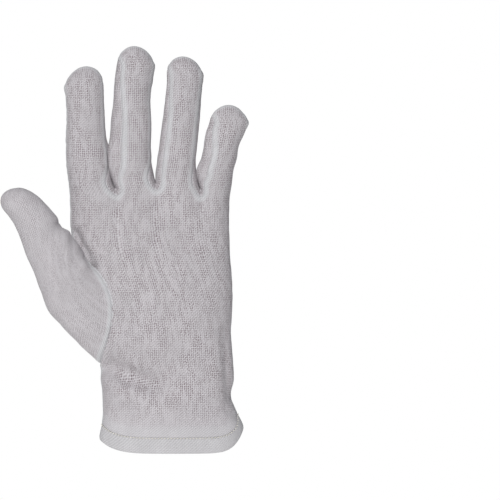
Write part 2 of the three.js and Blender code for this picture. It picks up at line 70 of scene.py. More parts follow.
# Seam angles run round a finger: 0 the thumb side, 90 the palm, 180 the little side, 270 the back.
fingers = [
    {"name": "index", "length": 78.7, "breadth": 24.4, "thickness": 19.0, "dome": 0.17,
     "front": (0, 168), "back": (235, 360),
     "sections": np.array([
         (0, 0, 1.2), (0.08, -0.09, 1.08), (0.18, -0.15, 1.06), (0.27, -0.17, 1.07),
         (0.43, -0.195, 1.02), (0.64, -0.205, 0.95), (0.83, -0.23, 0.95), (1, -0.17, 0.95)])},
    {"name": "middle", "length": 89.6, "breadth": 25.0, "thickness": 19.5, "dome": 0.15,
     "front": (69, 169), "back": (235, 340),
     "sections": np.array([
         (0, 0, 0.97), (0.08, -0.112, 1), (0.14, -0.155, 1.02), (0.3, -0.178, 1.02), (0.47, -0.166, 1),
         (0.63, -0.142, 0.905), (0.8, -0.085, 0.93), (0.854, -0.06, 0.91), (1, -0.08, 0.88)])},
    {"name": "ring", "length": 83.5, "breadth": 23.0, "thickness": 18.5, "dome": 0.145,
     "front": (48, 157), "back": (235, 340),
     "sections": np.array([
         (0, 0, 1.17), (0.09, -0.088, 1.07), (0.155, -0.11, 1.035), (0.33, -0.06, 1.035),
         (0.51, 0.02, 0.98), (0.68, 0.085, 0.955), (0.86, 0.13, 0.95), (1, 0.075, 0.92)])},
    {"name": "little", "length": 55.4, "breadth": 22.8, "thickness": 16.5, "dome": 0.2,
     "front": (68, 180), "back": (180, 340),
     "sections": np.array([
         (0, 0, 0.76), (0.18, -0.02, 0.92), (0.27, -0.02, 0.965), (0.44, 0.088, 0.965),
         (0.54, 0.13, 0.945), (0.71, 0.263, 1.04), (0.8, 0.33, 1.02), (1, 0.34, 0.95)])},
]


def lerp(a, b, share):
    # a plus the share of the way from a to b
    return a + (b - a) * share


def ease(value, low, high):
    # 0 below low, 1 above high, and three u squared less two u cubed between them
    u = np.clip((value - low) / (high - low), 0, 1)
    return u * u * (3 - 2 * u)


def mix(a, b, share):
    # a plus the share of the way from a to b, with one share for each point
    return a + (b - a) * np.asarray(share)[..., None]


def smoothColumn(places, values, at):
    # a cubic through the values, its slope at each place taken from the places beside it
    slopes = np.gradient(values, places)
    at = np.clip(at, places[0], places[-1])
    k = np.clip(np.searchsorted(places, at, side="right") - 1, 0, len(places) - 2)
    width = places[k + 1] - places[k]
    u = (at - places[k]) / width
    return (
        values[k] * (1 + 2 * u) * (1 - u) ** 2 + values[k + 1] * u * u * (3 - 2 * u)
        + width * (slopes[k] * u * (1 - u) ** 2 - slopes[k + 1] * u * u * (1 - u))
    )


def sectionPoint(x, y, z, halfBreadth, halfThickness, roundness, angle):
    # round an ellipse whose cosine and sine are raised to 2 / roundness, which squares it a little
    turned = np.radians(angle)
    cosine, sine = np.cos(turned), np.sin(turned)
    px = x - halfBreadth * np.sign(cosine) * np.abs(cosine) ** (2 / roundness)
    py = y - halfThickness * np.sign(sine) * np.abs(sine) ** (2 / roundness)
    return np.stack(np.broadcast_arrays(px, py, z), -1)


def lineDistance(x, z, start, end):
    # the distance in the palm's plane from a place to a straight line between two places
    dx, dz = end[0] - start[0], end[1] - start[1]
    share = np.clip(((x - start[0]) * dx + (z - start[1]) * dz) / (dx * dx + dz * dz), 0, 1)
    return np.hypot(x - start[0] - share * dx, z - start[1] - share * dz)


def palmPoint(angle, z):
    # cuff, wrist and palm: a squared ellipse at each height, less the soft dents on the palm side
    angle, z = np.broadcast_arrays(np.asarray(angle, float), np.asarray(z, float))
    places = hand["sections"][:, 0]
    cuff, palm, shift = (smoothColumn(places, hand["sections"][:, k], z / hand["palmHeight"]) for k in (1, 2, 3))
    wrist = 1 - cuff - palm
    breadth = cuff * hand["cuffBreadth"] + wrist * hand["wristBreadth"] + palm * hand["palmBreadth"]
    thickness = cuff * hand["cuffThickness"] + wrist * hand["wristThickness"] + palm * hand["palmThickness"]
    point = sectionPoint(shift * hand["palmBreadth"], 0, z, breadth / 2, thickness / 2, hand["roundness"], angle)
    facing = np.maximum(0, np.sin(np.radians(angle)))
    for fromX, fromZ, toX, toZ, wide, deep in hand["dents"]:
        start = (fromX * hand["palmBreadth"], fromZ * hand["palmHeight"])
        end = (toX * hand["palmBreadth"], toZ * hand["palmHeight"])
        away = lineDistance(point[..., 0], z, start, end) / (wide * hand["palmBreadth"])
        point[..., 1] += deep * hand["palmThickness"] * np.exp(-away * away) * facing
    return point


forkHeights = np.array([fork["height"] * hand["palmHeight"] for fork in forks])
forkCosines = np.array([1 - 2 * fork["across"] for fork in forks])
forkAngles = np.degrees(np.arccos(np.sign(forkCosines) * np.abs(forkCosines) ** (hand["roundness"] / 2)))
edgeAngles = np.array([0, *forkAngles, 180])
edgeHeights = np.array([forkHeights[0], *forkHeights, forkHeights[-1]])
edgeShares = np.array([0, *[fork["across"] for fork in forks], 1])
for k, finger in enumerate(fingers):
    rootZ = (edgeHeights[k] + edgeHeights[k + 1]) / 2
    shift = smoothColumn(hand["sections"][:, 0], hand["sections"][:, 3], rootZ / hand["palmHeight"])
    finger["rootX"] = (float(shift) + (edgeShares[k] + edgeShares[k + 1]) / 2 - 0.5) * hand["palmBreadth"]
    finger["rootZ"] = rootZ
    finger["domeZ"] = rootZ + finger["length"] * (1 - finger["dome"])


def fingerPoint(finger, angle, z):
    # a squared ellipse round the finger's leaning middle line, closing over the dome as a quarter circle
    at = np.clip((z - finger["rootZ"]) / finger["length"], 0, 1)
    places = finger["sections"][:, 0]
    shift, breadth = (smoothColumn(places, finger["sections"][:, k], at) for k in (1, 2))
    intoDome = np.clip((z - finger["domeZ"]) / (finger["length"] * finger["dome"]), 0, 1)
    closing = np.sqrt(1 - intoDome ** 2)
    thinning = fingerShape["tipThinning"] * at ** 2
    fullness = 1 + fingerShape["rootThickening"] * (1 - ease(at, 0, fingerShape["rootReach"])) - thinning
    return sectionPoint(
        finger["rootX"] + shift * finger["breadth"], -fingerShape["curl"] * at ** 2, z,
        breadth * finger["breadth"] * closing / 2, fullness * finger["thickness"] * closing / 2,
        fingerShape["roundness"], angle)


def fingerShare(z, forkHeight):
    # how much of the cloth is finger and not palm: an eased step across the height of the fork
    return ease(z, forkHeight - fingerShape["blendBelow"], forkHeight + fingerShape["blendAbove"])


# How finely the cloth is divided. Each level is a row of points: up the palm, round the fork,
# up the finger and over its tip.
grid = {"across": 32, "fourchette": 16, "palm": 178, "fork": 9, "shaft": 84, "dome": 24, "edgeEase": 0.5}


def levelTable():
    # each level's zone, and how far it is up the palm, round the fork, up the shaft and over the dome
    counts = [grid["palm"] + 1, grid["fork"], grid["shaft"], grid["dome"]]
    zone = np.repeat(np.arange(4), counts)
    up = np.concatenate([np.linspace(0, 1, counts[0]), *[np.arange(1, n + 1) / n for n in counts[1:]]])
    return {
        "zone": zone,
        "palm": np.where(zone == 0, up, 1.0),
        "fork": np.where(zone == 0, 0.0, np.where(zone == 1, up, 1.0)) * math.pi / 2,
        "shaft": np.where(zone < 2, 0.0, np.where(zone == 2, up, 1.0)),
        "dome": np.where(zone == 3, up, 0.0) * math.pi / 2,
    }


def pick(levels, rows):
    # the same table with the given rows only
    return {name: values[rows] for name, values in levels.items()}


def levelHeight(levels, forkHeight, finger):
    # heights beside the fork: a quarter circle round it, straight up the finger, then over the dome
    column = {name: values[:, None] for name, values in levels.items()}
    foot = forkHeight + fingerShape["forkRound"] * (1 - np.cos(column["fork"]))
    shaft = lerp(foot, finger["domeZ"], column["shaft"])
    return shaft + finger["length"] * finger["dome"] * np.sin(column["dome"])


def seamAngle(own, side, levels):
    # from the same angle at every fork to the finger's own, and out to its side at the tip
    if own == side:
        return np.full(len(levels["zone"]), float(side))
    rooted = side + math.copysign(fingerShape["rootSeamAngle"], own - side)
    leaving = ease(levels["shaft"], 0, fingerShape["seamLeave"])
    closing = fingerShape["taper"] * ease(levels["shaft"], fingerShape["seamSettle"], 1)
    angle = lerp(lerp(rooted, own, leaving), side, closing)
    point = np.clip(np.sin(levels["dome"]) / math.sin(math.radians(fingerShape["pointTurn"])), 0, 1)
    return lerp(angle, side, 1 - np.sqrt(1 - point ** 2))


def sidePoint(k, fork, t, levels, z):
    # the side of a finger that faces a fork: t runs from the palm-side seam, 0, to the back seam, 1
    finger = fingers[k]
    if fork == k:
        front, back = seamAngle(finger["front"][1], 180, levels), seamAngle(finger["back"][0], 180, levels)
    else:
        front = seamAngle(finger["front"][0], 0, levels)
        back = seamAngle(finger["back"][1], 360, levels) - 360
    inside = mix(palmPoint(forkAngles[fork], z), palmPoint(-forkAngles[fork], z), np.broadcast_to(t, z.shape))
    outside = fingerPoint(finger, lerp(front[:, None], back[:, None], t), z)
    return mix(inside, outside, fingerShare(z, forkHeights[fork]))


def forkPoint(fork, leg, t, levels, z):
    # between the two fingers' sides: together in the palm, apart above the fork
    near, far = sidePoint(fork, fork, t, levels, z), sidePoint(fork + 1, fork, t, levels, z)
    opening = leg * np.sin(levels["fork"])[:, None]
    return mix(near, far, np.broadcast_to((1 + opening) / 2, z.shape))


def rimHeight(angle):
    # the rim dips at the middle of palm and back, and rises to each side as a power of the cosine
    aside = np.cos(np.radians(angle))
    rise, turn = (np.where(aside > 0, *hand[name]) for name in ("rimRise", "rimTurn"))
    return rise * np.abs(aside) ** turn


def spread(count):
    # places from 0 to 1 that lie closer together at both ends, where the seams are
    s = np.linspace(0, 1, count + 1)
    return s - grid["edgeEase"] * np.sin(2 * math.pi * s) / (2 * math.pi)


def columnPatch(k, palmSide):
    # one column of cloth from hem to fingertip: palm section mixed into finger section, drawn to the forks
    finger, levels = fingers[k], levelTable()
    edges = (k, k + 1) if palmSide else (k + 1, k)
    angles = [edgeAngles[e] if palmSide else 360 - edgeAngles[e] for e in edges]
    seams, sides = (finger["front"], (0, 180)) if palmSide else (finger["back"], (180, 360))
    across = spread(grid["across"])[None, :]
    t = 0.0 if palmSide else 1.0

    def pointAt(share):
        palmAngle = lerp(angles[0], angles[1], share)
        forkHeight = lerp(edgeHeights[edges[0]], edgeHeights[edges[1]], share)
        inPalm = lerp(rimHeight(palmAngle) + hand["hemHeight"], forkHeight, levels["palm"][:, None])
        z = np.where(levels["zone"][:, None] == 0, inPalm, levelHeight(levels, forkHeight, finger))
        start, end = (seamAngle(own, side, levels)[:, None] for own, side in zip(seams, sides))
        onFinger = fingerPoint(finger, lerp(start, end, share), z)
        point = mix(palmPoint(palmAngle, z), onFinger, fingerShare(z, forkHeight))
        return point, z, np.broadcast_to(palmAngle, z.shape)

    points, z, palmAngle = pointAt(across)
    # The opening of a fork is felt close to it at first and right across the finger further up.
    reach = 1 + fingerShape["forkReach"] * np.cos(levels["fork"])[:, None] ** 2
    for end, weight in ((0, 1 - across), (1, across)):
        fork = edges[end] - 1
        if 0 <= fork < len(forks):
            free, edgeZ, _ = pointAt(np.array([[float(end)]]))
            together = forkPoint(fork, 0, t, levels, edgeZ) - free
            apart = forkPoint(fork, -1 if fork == k else 1, t, levels, edgeZ) - free - together
            draw = together * weight[..., None] + apart * (weight ** reach)[..., None]
            points = points + np.where((levels["zone"] > 1)[:, None, None], 0, draw)
    # The cloth's own measure: v runs up the glove and over the tip, u across from the column's middle.
    steps = np.linalg.norm(np.diff(points, axis=1), axis=2)
    walked = np.concatenate([np.zeros((len(points), 1)), np.cumsum(steps, axis=1)], 1)
    overTip = finger["domeZ"] + finger["length"] * finger["dome"] * levels["dome"][:, None]
    v = np.where(levels["zone"][:, None] == 3, overTip, z)
    return {"piece": "palm_panel" if palmSide else "back_panel", "points": points, "walked": walked, "v": v,
            "angle": palmAngle if palmSide else palmAngle - 360, "z": z, "levels": levels}


def hemPatch(k, palmSide):
    # the palm's own section, in three even steps from the rim up to the hem's stitches
    edges = (k, k + 1) if palmSide else (k + 1, k)
    start, end = [edgeAngles[e] if palmSide else 360 - edgeAngles[e] for e in edges]
    angle = lerp(start, end, spread(grid["across"]))[None, :]
    z = rimHeight(angle) + hand["hemHeight"] * np.linspace(0, 1, 3)[:, None]
    return {"piece": "hem", "points": palmPoint(angle, z), "angle": np.broadcast_to(angle, z.shape), "z": z}


def fourchettePatch(fork):
    # down one finger, round the bottom of the fork, and up the next finger, as one strip
    levels = levelTable()
    pointRow = int(round(grid["dome"] * fingerShape["pointTurn"] / 90))
    first = grid["palm"] + 1
    last = first + grid["fork"] + grid["shaft"] + pointRow
    legRows, bottom = np.arange(first, last), pick(levels, np.array([grid["palm"]]))
    t = np.linspace(0, 1, grid["fourchette"] + 1)[None, :]

    def leg(which, rows, finger):
        picked = rows if isinstance(rows, dict) else pick(levels, rows)
        lifted = fingerShape["forkRise"] * np.sin(math.pi * t) * np.cos(picked["fork"])[:, None]
        z = levelHeight(picked, forkHeights[fork], finger) + lifted
        return forkPoint(fork, which, t, picked, z)

    farLeg = leg(1, legRows[::-1], fingers[fork + 1])
    nearLeg = leg(-1, legRows, fingers[fork])
    # Above the fork the two sides swell until they touch, up to the height where the fingers part.
    middle, touch = grid["fourchette"] // 2, forks[fork]["touch"]
    nearX = np.interp(farLeg[..., 2], nearLeg[:, middle, 2], nearLeg[:, middle, 0])
    farX = np.interp(nearLeg[..., 2], farLeg[::-1, middle, 2], farLeg[::-1, middle, 0])
    low, high = (touch + away for away in fingerShape["parting"])
    nearHalf = np.maximum((farX - nearLeg[:, [middle], 0]) / 2 + fingerShape["overlap"], 0)
    farHalf = np.maximum((farLeg[:, [middle], 0] - nearX) / 2 + fingerShape["overlap"], 0)
    swell = np.sin(math.pi * t) ** fingerShape["swellPower"]
    nearLeg[..., 0] += nearHalf * swell * (1 - ease(nearLeg[..., 2], low, high))
    farLeg[..., 0] -= farHalf * swell * (1 - ease(farLeg[..., 2], low, high))
    points = np.concatenate([farLeg, leg(0, bottom, fingers[fork]), nearLeg])
    return {"piece": "fourchette_" + forks[fork]["name"], "points": points}


def weld(patches):
    # points within a thousandth of a millimetre become one; faces are quads of point numbers
    flat = np.concatenate([patch["points"].reshape(-1, 3) for patch in patches])
    rounded = np.round(flat * 1000).astype(np.int64)
    _, first, number = np.unique(rounded, axis=0, return_index=True, return_inverse=True)
    number, start, faces, owner = number.reshape(-1), 0, [], []
    for k, patch in enumerate(patches):
        rows, columns = patch["points"].shape[:2]
        ids = number[start:start + rows * columns].reshape(rows, columns)
        patch["ids"], start = ids, start + rows * columns
        quads = np.stack([ids[:-1, :-1], ids[:-1, 1:], ids[1:, 1:], ids[1:, :-1]], -1).reshape(-1, 4)
        faces.append(quads)
        owner.append(np.full(len(quads), k))
    return flat[first], np.concatenate(faces), np.concatenate(owner)


def pointNormals(points, faces):
    # the cross products of the diagonals of the faces round a point, added up, over the sum's length
    a, b, c, d = (points[faces[:, k]] for k in range(4))
    across = np.cross(c - a, d - b)
    total = np.zeros_like(points)
    for k in range(4):
        for axis in range(3):
            total[:, axis] += np.bincount(faces[:, k], across[:, axis], len(points))
    return total / np.maximum(np.linalg.norm(total, axis=1, keepdims=True), 1e-9)


def relax(points, faces, weight, rounds, step=0.6):
    # in each round a point moves a step, times its own weight, towards the mean of its neighbours
    pairs = np.concatenate([faces[:, [k, (k + 1) % 4]] for k in range(4)])
    pairs = np.concatenate([pairs, pairs[:, ::-1]])
    pairs = pairs[pairs[:, 0] != pairs[:, 1]]
    count = np.maximum(np.bincount(pairs[:, 0], minlength=len(points)), 1)
    for _ in range(rounds):
        sums = [np.bincount(pairs[:, 0], points[pairs[:, 1], axis], len(points)) for axis in range(3)]
        mean = np.stack([total / count for total in sums], 1)
        points = points + (mean - points) * (step * weight)[:, None]
    return points


def nearest(points, curve, size=4000):
    # the distance to the closest of a curve's points, in blocks: the root of p.p + c.c - 2 p.c
    found = np.zeros(len(points))
    for start in range(0, len(points), size):
        block = points[start:start + size]
        away = (block ** 2).sum(1)[:, None] + (curve ** 2).sum(1)[None, :] - 2 * block @ curve.T
        found[start:start + size] = np.sqrt(np.maximum(away.min(1), 0))
    return found


def bump(distance, width):
    # e to the power of minus the square of distance over width: 1 at no distance
    return np.exp(-(distance / width) ** 2)


# The set-in thumb: an oval seam in the palm, and sections along a leaning line.
thumbShape = {
    "length": 88.0, "breadth": 24.0, "thickness": 20.5, "lean": 34.3,
    "rootAcross": -48.5, "rootHeight": 87.8, "dome": 0.14, "blend": 0.2,
    "holeLow": 54.0, "holeHigh": 117.0, "holeMiddle": 11.0, "holeReach": 36.0, "holeSkew": 12.0,
    "turnedIn": 0.045, "quadsRound": 120, "shaftRows": 92, "domeRows": 16, "seamAngle": -28.0,
    # share of length, across, wide, deep, forward, turn
    "sections": np.array([
        (0, 0, 2.45, 1.3, 0.2, 62), (0.09, -0.07, 2.24, 1.28, 0.28, 52), (0.19, -0.13, 1.96, 1.25, 0.36, 42),
        (0.28, -0.16, 1.82, 1.2, 0.45, 34), (0.39, -0.1, 1.57, 1.12, 0.52, 28), (0.5, -0.03, 1.33, 1.05, 0.58, 19),
        (0.575, 0.01, 1.2, 1.02, 0.61, 11), (0.68, 0.09, 1.07, 1, 0.66, -3), (0.76, 0.11, 0.99, 0.97, 0.69, -8),
        (0.86, 0.07, 0.93, 0.93, 0.72, -11), (1, 0, 0.9, 0.88, 0.75, -9),
    ]),
}


def holeRadius(angle, z):
    # 1 on the thumb's seam, less inside it: the seam is an oval once the skew is taken off
    up = 2 * (z - thumbShape["holeLow"]) / (thumbShape["holeHigh"] - thumbShape["holeLow"]) - 1
    aside = (angle - thumbShape["holeMiddle"] - thumbShape["holeSkew"] * up) / thumbShape["holeReach"]
    return np.hypot(up, aside), up, aside


def holePlace(up, aside):
    # the other way round: a place in the oval, as shares of its half height and half width, on the palm
    angle = thumbShape["holeMiddle"] + thumbShape["holeReach"] * aside + thumbShape["holeSkew"] * up
    return palmPoint(angle, lerp(thumbShape["holeLow"], thumbShape["holeHigh"], (1 + up) / 2))


def thumbPoint(at, angle):
    # sections along a leaning line, mixed near the root into the oval seam on the palm
    at, angle = np.broadcast_arrays(at, angle)
    places = thumbShape["sections"][:, 0]
    columns = [smoothColumn(places, thumbShape["sections"][:, k], at) for k in range(1, 6)]
    across, wide, deep, forward, turn = columns
    lean, tipped, turned = math.radians(thumbShape["lean"]), np.radians(turn), np.radians(angle)
    along, aside = np.array([-math.sin(lean), 0, math.cos(lean)]), np.array([math.cos(lean), 0, math.sin(lean)])
    intoDome = np.clip((at - 1 + thumbShape["dome"]) / thumbShape["dome"], 0, 1)
    closing = np.sqrt(1 - intoDome ** 2)
    half = wide * thumbShape["breadth"] * closing * np.cos(turned) / 2
    deepHalf = deep * thumbShape["thickness"] * closing * np.sin(turned) / 2
    middle = np.array([thumbShape["rootAcross"], 0, thumbShape["rootHeight"]])
    section = (
        middle + (at * thumbShape["length"] + half * np.sin(tipped))[..., None] * along
        + (across * thumbShape["breadth"] + half * np.cos(tipped))[..., None] * aside)
    section[..., 1] -= forward * thumbShape["thickness"] + deepHalf
    return mix(holePlace(np.cos(turned), np.sin(turned)), section, ease(at, 0, thumbShape["blend"]))


print("glove skin")
patches = [columnPatch(k, side) for k in range(4) for side in (True, False)]
patches += [hemPatch(k, side) for k in range(4) for side in (True, False)]
patches += [fourchettePatch(fork) for fork in range(3)]
panelPatches, palmPatches, forkPatches = patches[:8], patches[:8:2], patches[16:]
skin, skinFaces, skinOwner = weld(patches)

# The folds that the joining of columns leaves below the forks are smoothed away.
smoothing = {"from": (112, 126), "to": (146, 154), "rounds": 60}
inBlend = ease(skin[:, 2], *smoothing["from"]) * (1 - ease(skin[:, 2], *smoothing["to"]))
skin = relax(skin, skinFaces, inBlend, smoothing["rounds"])

# The thumb's hole: faces well inside its seam go, and the edge that stays is set on a smooth oval.
farOutside = 9.0
palmAngle, palmRadius = np.zeros(len(skin)), np.full(len(skin), farOutside)
for patch in panelPatches:
    radius, _, _ = holeRadius(patch["angle"], patch["z"])
    palmRadius[patch["ids"]], palmAngle[patch["ids"]] = radius, patch["angle"]
keep = palmRadius[skinFaces].mean(1) > 1 - thumbShape["turnedIn"]
onEdge = np.intersect1d(skinFaces[keep], skinFaces[~keep])
radius, up, aside = holeRadius(palmAngle[onEdge], skin[onEdge, 2])
size = (1 - thumbShape["turnedIn"]) / radius
skin[onEdge] = holePlace(up * size, aside * size)
skinFaces, skinOwner = skinFaces[keep], skinOwner[keep]
skinNormals = pointNormals(skin, skinFaces)

turn = np.linspace(0, 2 * math.pi, 400)
thumbSeam = holePlace(np.cos(turn), np.sin(turn))
forkSeams = [patch["points"][:, [0, -1]].reshape(-1, 3) for patch in forkPatches]
tipSeams = [patch["points"][-grid["dome"]:, [0, -1]].reshape(-1, 3) for patch in palmPatches]
sideSeam = patches[0]["points"][:, 0]
sideSeam = sideSeam[holeRadius(np.zeros(len(sideSeam)), sideSeam[:, 2])[0] > 1]
fingerSeams = np.concatenate([*forkSeams, *tipSeams, sideSeam])

isPanel = np.zeros(len(skin), bool)
for patch in panelPatches:
    isPanel[patch["ids"]] = True
toSeam, toThumb = nearest(skin, fingerSeams), nearest(skin, thumbSeam)
aboveHem = skin[:, 2] - rimHeight(palmAngle) - hand["hemHeight"]

# A seam is a groove with a low ridge beside it, where the cloth lies double. Its depth and width, the
# ridge's height, where the ridge rises and ends, and how far the thumb's hole and the hem sink.
seamRelief = {"groove": 0.28, "wide": 0.5, "ridge": 0.2, "rises": (0.2, 1.2), "ends": (2.6, 4.4),
              "thumbGroove": 0.45, "holeSink": 1.6, "hemSink": 0.16, "thumbWide": 0.6, "hemWide": 0.6}
relief = -seamRelief["groove"] * bump(toSeam, seamRelief["wide"])
ridge = seamRelief["ridge"] * ease(toSeam, *seamRelief["rises"]) * (1 - ease(toSeam, *seamRelief["ends"]))
relief += np.where(isPanel, ridge, 0)
relief -= seamRelief["thumbGroove"] * bump(toThumb, seamRelief["thumbWide"])
relief -= np.where(isPanel, seamRelief["holeSink"] * ease(1 - palmRadius, 0, thumbShape["turnedIn"]), 0)
relief -= np.where(isPanel, seamRelief["hemSink"] * bump(aboveHem, seamRelief["hemWide"]), 0)

# Folds and puckers that the palm side shows: x and z of both ends, width and depth, a ridge if negative.
palmFolds = [
    (-38, 72, -8, 69, 6.0, -0.7), (-42, 44, -16, 35, 4.0, -0.5),
    (34.2, 76, 36.0, 33, 2.4, 1.1), (38.6, 70, 40.0, 36, 1.8, -0.4), (27, 58, 31, 20, 3.4, -0.3),
    (-64.5, 188.2, -58, 187.0, 1.1, 0.35), (34, 27, 43, 20, 1.8, 0.5), (-58.5, 134, -47, 114, 2.8, 2.4),
]
# The wrist's crease: its line, its depth, and how far the cloth leans in above it and comes out below.
wristCrease = {"x": [-46, -27.5, -12, 8], "z": [56.5, 48.4, 43.6, 45.6], "depth": 4.6,
               "above": 10.0, "below": 5.0, "fade": (-16, 14)}
# Small corners where the fourchettes end at the fingertips: x, z, radius and height.
tipCorners = [
    (-64.1, 222.7, 2.6, 0.9), (-9.8, 236.5, 3.0, 0.7), (20.3, 231.0, 2.4, 0.9), (47.8, 201.6, 2.6, 1.0),
    (20.3, 227.4, 1.2, 0.4), (-9.6, 231.5, 1.6, 0.3), (48.2, 196.5, 2.0, 0.3),
]
facing = skinNormals[:, 1] < 0.25
folds = np.zeros(len(skin))
for x0, z0, x1, z1, wide, deep in palmFolds:
    folds -= deep * bump(lineDistance(skin[:, 0], skin[:, 2], (x0, z0), (x1, z1)), wide) * facing
over = skin[:, 2] - np.interp(skin[:, 0], wristCrease["x"], wristCrease["z"])
leaning = bump(over, np.where(over > 0, wristCrease["above"], wristCrease["below"]))
leaning = leaning * (1 - ease(skin[:, 0], *wristCrease["fade"])) * (1 - ease(skinNormals[:, 1], -0.5, 0.2))
leaning = leaning * ease(toThumb, 1, 6) * (palmRadius > 1)
folds -= wristCrease["depth"] * leaning
relief += folds
for x, z, wide, high in tipCorners:
    relief += high * bump(np.hypot(skin[:, 0] - x, skin[:, 2] - z), wide)


def softWaves(points, seed, count, shortest, longest, height):
    # a sum of sine waves in all directions, each of its own length and phase
    chance = np.random.default_rng(seed)
    total = np.zeros(len(points))
    for _ in range(count):
        direction = chance.normal(size=3)
        number = 2 * math.pi / chance.uniform(shortest, longest) / np.linalg.norm(direction)
        total += np.sin(points @ (direction * number) + chance.uniform(0, 2 * math.pi))
    return height * total / math.sqrt(count)


# Slack in the cloth: seed, number of waves, shortest and longest wave, and height.
slack, fineSlack = (4, 12, 14, 38, 0.16), (9, 14, 5, 11, 0.05)
relief += softWaves(skin, *slack) + softWaves(skin, *fineSlack)
# The finger seams pucker as two waves along the finger, fading in above the palm.
pucker = np.sin(skin[:, 2] * 1.55 + skin[:, 0] * 0.2) + 0.6 * np.sin(skin[:, 2] * 0.83 + 1.3)
relief += 0.07 * pucker * bump(toSeam, 2.4) * ease(skin[:, 2], 150, 170)
outer = skin + skinNormals * relief[:, None]
# Doubled cloth beside the seams and above the hem is closer and lighter.
besideSeam, besideHem = 0.8 * (1 - ease(toSeam, 2.6, 4.6)), 0.35 * (1 - ease(aboveHem, 4.5, 9.0))
band = np.clip(besideSeam + besideHem, 0, 1) * isPanel
# The knit is stretched open where the glove is full, and lies closer towards the cuff. This mask sets how much
# painted shade shows in the open loops, 40% less on the back half.
sheerLoopShade = ease(skin[:, 2], 4, 36) * (1 - 0.4 * (skin[:, 1] > 0))


def boundaryEdges(faces):
    # directed edges that no neighbouring face runs back along
    edges = np.concatenate([faces[:, [k, (k + 1) % 4]] for k in range(4)])
    edges = edges[edges[:, 0] != edges[:, 1]]
    span = int(faces.max()) + 1
    return edges[~np.isin(edges[:, 0] * span + edges[:, 1], edges[:, 1] * span + edges[:, 0])]


def shell(outer, inner, faces):
    # a closed wall: the outer faces, the inner faces turned round, and a strip along each open edge
    used, local = np.unique(faces, return_inverse=True)
    local = local.reshape(faces.shape)
    edges, n = boundaryEdges(local), len(used)
    strips = np.stack([edges[:, 1], edges[:, 0], edges[:, 0] + n, edges[:, 1] + n], -1)
    allFaces = np.concatenate([local, local[:, ::-1] + n, strips])
    flat = np.concatenate([np.zeros(2 * len(local), bool), np.ones(len(strips), bool)])
    return np.concatenate([outer[used], inner[used]]), allFaces, flat, used


def makeMesh(name, points, faces, flat=None, uv=None, attributes=None, material=None):
    # quads whose corners fall together become triangles, and faces with no area are left out
    same = faces == np.roll(faces, -1, 1)
    whole = same.sum(1) < 2
    faces, same = faces[whole], same[whole]
    mesh = bpy.data.meshes.new(name)
    mesh.vertices.add(len(points))
    mesh.vertices.foreach_set("co", (points * mm).astype(np.float32).ravel())
    totals = 4 - same.sum(1)
    corners = faces[~same]
    mesh.loops.add(len(corners))
    mesh.loops.foreach_set("vertex_index", corners.astype(np.int32))
    mesh.polygons.add(len(faces))
    mesh.polygons.foreach_set("loop_start", np.concatenate([[0], np.cumsum(totals)[:-1]]).astype(np.int32))
    mesh.polygons.foreach_set("loop_total", totals.astype(np.int32))
    mesh.update(calc_edges=True)
    if uv is not None:
        layer = mesh.uv_layers.new(name="cloth")
        layer.data.foreach_set("uv", uv[corners].astype(np.float32).ravel())
    for title, values in (attributes or {}).items():
        mesh.attributes.new(title, "FLOAT", "POINT").data.foreach_set("value", values.astype(np.float32))
    if flat is not None:
        mesh.attributes.new("sharp_face", "BOOLEAN", "FACE").data.foreach_set("value", flat[whole])
    mesh.validate()
    piece = bpy.data.objects.new(name, mesh)
    bpy.context.scene.collection.objects.link(piece)
    if material:
        mesh.materials.append(material)
    return piece


def srgb(code):
    # a hex colour such as "#b6b2b5" as linear red, green and blue
    parts = np.array([int(code[k:k + 2], 16) for k in (1, 3, 5)]) / 255
    linear = np.where(parts <= 0.04045, parts / 12.92, ((parts + 0.055) / 1.055) ** 2.4)
    return (*linear.tolist(), 1.0)


def addNode(tree, kind, inputs=None, **settings):
    # a node with its settings, its fixed inputs and its links from other nodes' sockets
    node = tree.nodes.new(kind)
    for name, value in settings.items():
        setattr(node, name, value)
    for socket, value in (inputs or {}).items():
        if isinstance(value, bpy.types.NodeSocket):
            tree.links.new(value, node.inputs[socket])
        else:
            node.inputs[socket].default_value = value
    return node


def startMaterial(name, color, roughness):
    # a new material with its one colour and roughness, and its tree and shader to add to
    material = bpy.data.materials.new(name)
    material.use_nodes = True
    tree = material.node_tree
    shader = tree.nodes["Principled BSDF"]
    shader.inputs["Base Color"].default_value = srgb(color)
    shader.inputs["Roughness"].default_value = roughness
    return material, tree, shader


# Combed cotton, warp knitted in one thin layer: pale and matt, with fine slanting ribs, small open
# loops painted dark as the shade inside the glove seen through them, and a smoother, lighter look where a seam
# doubles it.
knitLook = {
    # The loops' colour is painted shade: the dark inside of the glove seen through the open loops.
    "cloth": "#c0bcbf", "loopShade": "#655458", "doubled": "#c6c6c8", "roughness": 0.93,
    # The real loops are 0.65 mm apart, about one pixel, so loops and ribs are drawn about twice as coarse.
    "loopWidth": 1.25, "loopHeight": 1.1, "ribPitch": 1.3, "ribTurn": -40,
    "wispWidth": 3.2, "wispHeight": 9.0, "cloudSize": 17.0, "reliefHeight": 0.00016,
}


